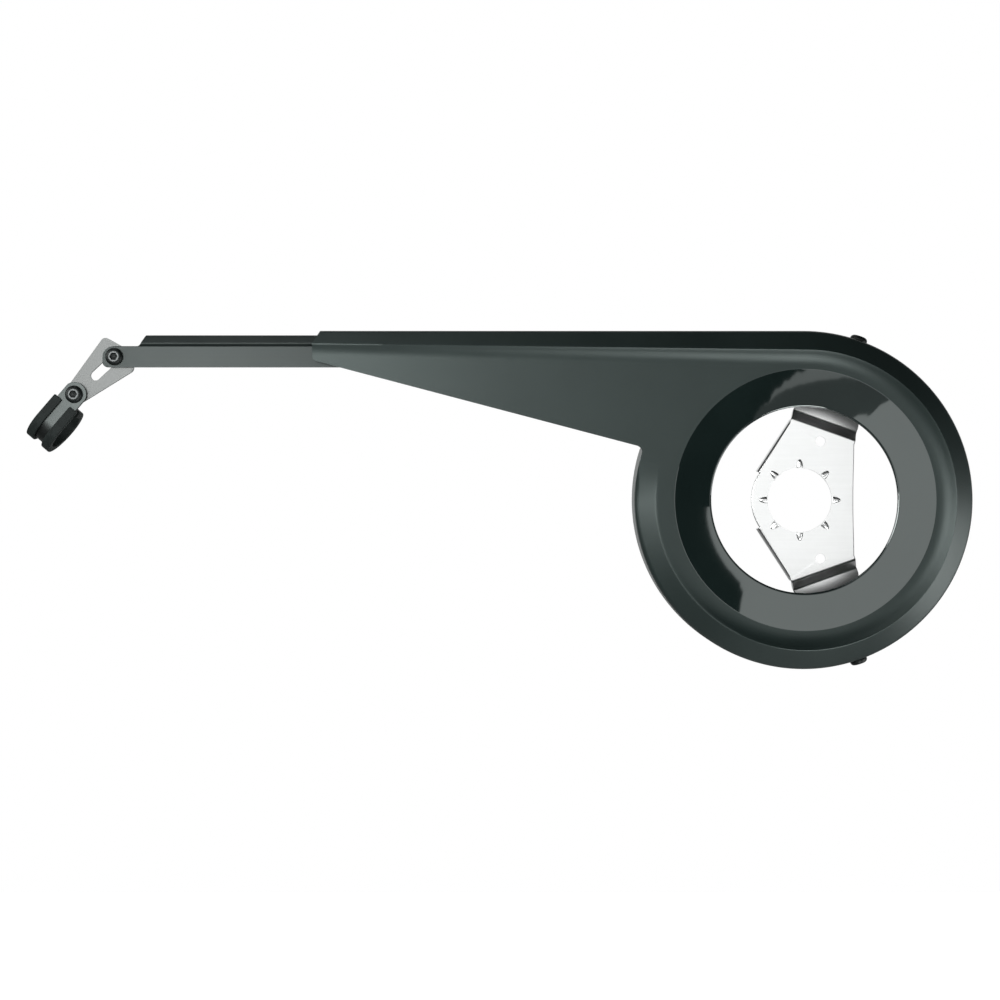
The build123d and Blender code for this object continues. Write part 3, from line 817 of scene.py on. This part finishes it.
# How far along its grip a point of the plate is, how far across, and which way is across
def gripPlace(spot):
    form = pressing
    step = 2 * pi / form["gripCount"]
    turn = round(atan2(spot.z, spot.x) / step) * step
    way, side = Vector((cos(turn), 0, sin(turn))), Vector((-sin(turn), 0, cos(turn)))
    along = (spot.dot(way) - form["gripStart"]) / (form["gripEnd"] - form["gripStart"])
    return along, spot.dot(side), side


def isGrip(vert):
    along, across, _ = gripPlace(vert.co)
    slack = pressing["gripSlack"]
    return -slack < along < 1 + slack and abs(across) < pressing["gripHalf"] * (1 + slack) and onFront(vert)


def pressPlate(piece):
    form = pressing
    turn = radians(form["armAngle"])
    lean = radians(form["flangeAngle"])
    foot = Vector((-cos(lean), 0, sin(lean))) * form["flangeFoot"]
    armWay, armSide = Vector((cos(turn), 0, sin(turn))), Vector((sin(turn), 0, -cos(turn)))
    head = armWay * form["flangeHead"][0] - armSide * form["flangeHead"][1]
    line, reach = (head - foot).normalized(), (head - foot).length
    outer = Vector((-line.z, 0, line.x))
    for vert in piece.data.vertices:
        flip = 1 if vert.co.z > 0 else -1
        spot = Vector((vert.co.x, vert.co.y, vert.co.z * flip))
        over, far = (spot - foot).dot(outer), (spot - foot).dot(line)
        onFlange = over > 0.02 * mm and 0 < far < reach
        if onFlange:
            spot -= outer * over * (1 - form["flangeKeep"])
            if far > reach / 2:
                spot += line * form["flangeRun"]
        along, across = spot.dot(armWay), spot.dot(armSide)
        end, half = form["flangeHead"]
        if not onFlange and across < 0.1 * mm - half and along > end - 0.5 * mm:
            spot -= armSide * form["armWiden"] * smooth((end - along) / form["armFade"] + form["armKeep"])
        for k in range(3):
            low, high = form["solid"][k : k + 2]
            if low < along <= high:
                start, end = form["shown"][k : k + 2]
                spot += armWay * (start + (along - low) / (high - low) * (end - start) - along)
                break
        vert.co = (spot.x, spot.y, spot.z * flip)

    # Grips
    pick(piece)
    bpy.ops.object.mode_set(mode="EDIT")
    mesh = bmesh.from_edit_mesh(piece.data)
    selectNone(mesh)
    for edge in mesh.edges:
        spots = [gripPlace(vert.co) for vert in edge.verts]
        if all(isGrip(vert) for vert in edge.verts) and abs(spots[0][0] - spots[1][0]) > 0.9:
            edge.select_set(abs(spots[0][1] - spots[1][1]) < 0.05 * mm)
    bpy.ops.mesh.subdivide(number_cuts=form["gripCuts"])
    mesh = bmesh.from_edit_mesh(piece.data)
    for vert in mesh.verts:
        if isGrip(vert):
            along, across, side = gripPlace(vert.co)
            dome = sqrt(max(0.0, 1 - min(max(along, 0.0), 1.0) ** 2))
            vert.co -= side * across * (1 - max(dome, form["gripTip"]))
            vert.co.y += (-vert.co.y - form["sheet"] / 2) * (1 - dome)

    # Rolled edges
    selectNone(mesh)
    holes = [armWay * form["serviceHole"], Vector((armWay.x, 0, -armWay.z)) * form["serviceHole"]]
    for edge in mesh.edges:
        middle = (edge.verts[0].co + edge.verts[1].co) / 2
        flat = Vector((middle.x, 0, middle.z))
        if len(edge.link_faces) != 2 or not form["rollFrom"] < flat.length < form["solid"][3]:
            continue
        front, wall = sorted((face.normal.y for face in edge.link_faces))
        clear = min((flat - hole).length for hole in holes) > form["serviceClear"]
        if front < form["rollFront"] and abs(wall) < form["rollSide"] and clear:
            edge.select_set(True)
    bpy.ops.mesh.bevel(offset=form["roll"], segments=form["rollSteps"], affect="EDGES", clamp_overlap=False)
    bpy.ops.object.mode_set(mode="OBJECT")


# The rail's nose is rounded over from its top to its rear end
nose = {
    "middle": Vector(record["behaviour"]["joints"][1]["pos_m"]),  # where the link swings
    "reach": 6.4 * mm,
    "height": 5.65 * mm,
    "cuts": (0.8, 0.55, 0.3),
}


def roundNose(piece):
    form = nose
    middle = form["middle"]
    pick(piece)
    bpy.ops.object.mode_set(mode="EDIT")
    bpy.ops.mesh.select_all(action="SELECT")
    bpy.ops.mesh.bisect(plane_co=middle, plane_no=(1, 0, 0))
    for axis, size in (((1, 0, 0), -form["reach"]), ((0, 0, 1), form["height"])):
        for cut in (*form["cuts"], 0.0):
            mesh = bmesh.from_edit_mesh(piece.data)
            selectVerts(mesh, lambda co: co.x < middle.x + 0.01 * mm)
            bpy.ops.mesh.bisect(plane_co=middle + Vector(axis) * size * cut, plane_no=axis)
    mesh = bmesh.from_edit_mesh(piece.data)
    for vert in mesh.verts:
        along, over = vert.co.x - middle.x, vert.co.z - middle.z
        stretch = hypot(along / form["reach"], over / form["height"])
        if along < 0 < over and stretch > 1:
            vert.co.x, vert.co.z = middle.x + along / stretch, middle.z + over / stretch
    bpy.ops.object.mode_set(mode="OBJECT")


# Sheet and rubber pieces: the CAD form with its edges eased
easedNodes = {
    "mounting_bracket": 0.10 * mm,
    "extension_rail": 0.12 * mm,
    "link_plate": 0.32 * mm,
    "clip_strap": 0.18 * mm,
    "clip_liner": 0.45 * mm,
    "bracket_nut_upper": 0.3 * mm,
    "bracket_nut_lower": 0.3 * mm,
    "pivot_washer": 0.15 * mm,
    "clip_washer": 0.15 * mm,
}
reshaped = {"mounting_bracket": pressPlate, "extension_rail": roundNose}
for node, width in easedNodes.items():
    piece = nodeCopy(node)
    if node in reshaped:
        reshaped[node](piece)
    softEdges(piece, width)
    seat(piece, node, finishes[slotOf[node]])
print("eased pieces made:", len(easedNodes))


# Screws and lock nuts: rings stacked upwards on Z, then set in their places
screwForm = {
    "shank": 2.5 * mm,
    "length": 11.6 * mm,
    "pitch": 0.8 * mm,
    "threadDepth": 0.42 * mm,
    "threadLength": 6 * mm,
    "threadSteps": 8,
    "head": 4.7 * mm,
    "headHeight": 2.7 * mm,
    "headSteps": 7,
    "rim": 0.7 * mm,
    "flat": 2.9 * mm,
    "bare": 2.65 * mm,  # outer radius of the lighter metal ring round the socket
    "socket": 1.8 * mm,  # half its width over flats
    "socketDepth": 1.5 * mm,
    "ease": 0.15 * mm,
}
nutForm = {
    "flat": 4 * mm,
    "height": 3.6 * mm,
    "chamfer": 3.9 * mm,
    "chamferSteps": 3,
    "chamferRise": 0.45 * mm,
    "bore": 2.55 * mm,
    "collar": 3.5 * mm,
    "collarHeight": 1.4 * mm,
    "ease": 0.25 * mm,
}


turning = {"sides": 48, "sharp": 28}


def hexagon(flat, most=1.0):  # radius at an angle, with its corners cut at the most radius
    return lambda turn: min(flat / cos(turn % (pi / 3) - pi / 6), most)


def turned(name, rings, closed=False):
    bpy.ops.object.select_all(action="DESELECT")
    fill = "NOTHING" if closed else "NGON"
    bpy.ops.mesh.primitive_circle_add(vertices=turning["sides"], radius=mm, fill_type=fill)
    piece = bpy.context.object
    piece.name = name
    bpy.ops.object.mode_set(mode="EDIT")
    for place, (height, radius) in enumerate(rings):
        if place:
            bpy.ops.mesh.extrude_region_move(TRANSFORM_OT_translate={"value": (0, 0, mm)})
        mesh = bmesh.from_edit_mesh(piece.data)
        for vert in mesh.verts:
            if vert.select:
                turn = atan2(vert.co.y, vert.co.x) % (2 * pi)
                reach = radius(turn) if callable(radius) else radius
                vert.co = (reach * cos(turn), reach * sin(turn), height)
    bpy.ops.mesh.select_all(action="SELECT")
    bpy.ops.mesh.remove_doubles(threshold=0.001 * mm)
    bpy.ops.mesh.normals_make_consistent(inside=False)
    bpy.ops.object.mode_set(mode="OBJECT")
    bpy.ops.object.shade_smooth_by_angle(angle=radians(turning["sharp"]))
    return piece


def threadAt(height):  # radius of the thread's helix at an angle
    form = screwForm

    def radius(turn):
        along = (height / form["pitch"] - turn / (2 * pi)) % 1.0
        return form["shank"] - form["threadDepth"] * abs(2 * along - 1)

    return radius


def screwRings():
    form = screwForm
    tip, top, step = -form["length"], form["headHeight"], form["pitch"] / form["threadSteps"]
    rings = [(tip, form["shank"] - form["threadDepth"])]
    heights = [tip + k * step for k in range(2, round(form["threadLength"] / step))]
    rings += [(height, threadAt(height)) for height in heights]
    rings += [(tip + form["threadLength"] + step, form["shank"]), (0.0, form["shank"])]
    rings += [(0.0, form["head"] - form["ease"]), (form["ease"], form["head"]), (form["rim"], form["head"])]
    for k in range(1, form["headSteps"] + 1):
        turn = pi / 2 * k / form["headSteps"]
        reach = form["flat"] + (form["head"] - form["flat"]) * cos(turn)
        rings.append((form["rim"] + (top - form["rim"]) * sin(turn), reach))
    rings += [
        (top, form["bare"]),
        (top, hexagon(form["socket"] + form["ease"])),
        (top - form["ease"], hexagon(form["socket"])),
        (top - form["socketDepth"], hexagon(form["socket"])),
        (top - form["socketDepth"] - 3 * form["ease"], 2 * form["ease"]),
    ]
    return rings


def nutRings():
    form = nutForm
    top = form["height"] + form["collarHeight"]
    corner = form["flat"] / cos(pi / 6)
    lower = []
    for k in range(form["chamferSteps"] + 1):
        t = k / form["chamferSteps"]
        most = form["chamfer"] + (corner - form["chamfer"]) * t
        lower.append((form["chamferRise"] * t, hexagon(form["flat"], most)))
    upper = [(form["height"] - height, radius) for height, radius in reversed(lower)]
    rings = [(0.0, form["bore"]), *lower, *upper, (form["height"], form["collar"])]
    rings += [(top - form["ease"], form["collar"]), (top, form["collar"] - form["ease"])]
    rings += [(top, form["bore"] + form["ease"]), (top - form["ease"], form["bore"]), (0.0, form["bore"])]
    return rings


def setCopy(pattern, node, way, stretch=0.0):  # a copy with its own mesh, its foot where the node's is
    piece = bpy.data.objects.new(pieceName(node), pattern.data.copy())
    bpy.context.scene.collection.objects.link(piece)
    for vert in piece.data.vertices:
        if vert.co.z < -mm:
            vert.co.z += stretch
    spots = [vert.co for vert in frame["nodes"][node].data.vertices]
    top = max(spot.dot(way) for spot in spots)
    near = [spot for spot in spots if spot.dot(way) > top - 0.01 * mm]
    middle = sum(near, Vector()) / len(near)
    piece.location = middle - way * max(vert.co.z for vert in piece.data.vertices)
    piece.rotation_euler = Vector((0, 0, 1)).rotation_difference(way).to_euler()
    pick(piece)
    bpy.ops.object.transform_apply(location=True, rotation=True, scale=True)
    return piece


def reachOf(node, way):
    along = [vert.co.dot(way) for vert in frame["nodes"][node].data.vertices]
    return max(along) - min(along)


screwPattern = turned("screwPattern", screwRings())
rimFaces = [
    face.index for face in screwPattern.data.polygons
    if abs(face.center.z - screwForm["headHeight"]) < 0.02 * mm and face.center.xy.length < screwForm["bare"]
]
turn = radians(cover["screwAngle"])
ringWay = {side: Vector((cos(turn), 0, side * sin(turn))) for side in (1, -1)}
outwards = Vector((0, -1, 0))
screwWays = {
    "bracket_screw_upper": ringWay[1],
    "bracket_screw_lower": ringWay[-1],
    "pivot_screw": outwards,
    "clip_screw": outwards,
}
for node, way in screwWays.items():
    length = reachOf(node, way) - screwForm["headHeight"]
    piece = setCopy(screwPattern, node, way, screwForm["length"] - length)
    seat(piece, node, finishes["screw_black"], lighterRim)
    for index in rimFaces:
        piece.data.polygons[index].material_index = 1
nutPattern = turned("nutPattern", nutRings(), closed=True)
nutNodes = ("pivot_nut", "clip_nut")
for node in nutNodes:
    seat(setCopy(nutPattern, node, -outwards), node, finishes["nut_zinc"])
for pattern in (screwPattern, nutPattern):
    bpy.data.objects.remove(pattern)
print("fasteners made:", len(screwWays) + len(nutNodes))
